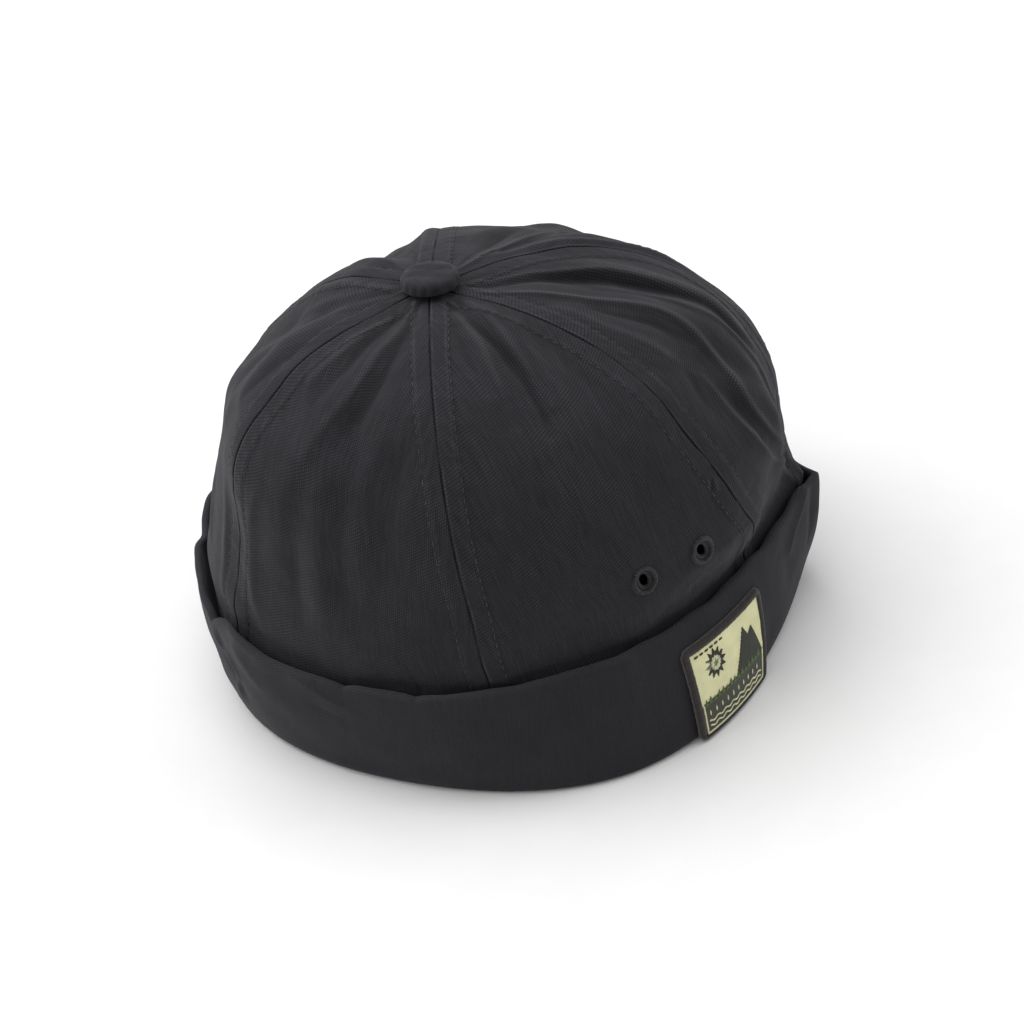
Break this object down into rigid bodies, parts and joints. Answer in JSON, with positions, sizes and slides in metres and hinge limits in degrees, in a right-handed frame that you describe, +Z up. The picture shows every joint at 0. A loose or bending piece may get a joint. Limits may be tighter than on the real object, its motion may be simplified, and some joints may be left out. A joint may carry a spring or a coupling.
{
  "type": "brimless docker cap",
  "caption": "Brimless docker cap of dark cotton twill with sewn crown panels, a cloth button, stitched eyelets, a turned-up cuff and a small woven patch.",
  "frame": {"origin": "middle of the cap's box, on the surface that the cuff rests on", "axes": "+X towards the wearer's front along the longest side, +Y towards the wearer's left, +Z up out of the button"},
  "size_m": [0.2066, 0.1918, 0.1454],
  "materials": {
    "crown_cloth": "washed cotton twill, matt",
    "cuff_cloth": "washed cotton twill, matt",
    "button_cloth": "cotton twill over a button blank",
    "eyelet_thread": "close satin stitch",
    "patch_weave": "fine woven label",
    "border_thread": "overlocked thread with a soft sheen"
  },
  "bodies": {
    "root": {"crown_back_right": "crown_cloth", "crown_side_right": "crown_cloth", "crown_front_right": "crown_cloth", "crown_front_left": "crown_cloth", "crown_side_left": "crown_cloth", "crown_back_left": "crown_cloth", "cuff": "cuff_cloth", "top_button": "button_cloth", "eyelet_right_back": "eyelet_thread", "eyelet_right_front": "eyelet_thread", "eyelet_left_front": "eyelet_thread", "eyelet_left_back": "eyelet_thread", "patch": "patch_weave", "patch_border": "border_thread"}
  },
  "joints": []
}
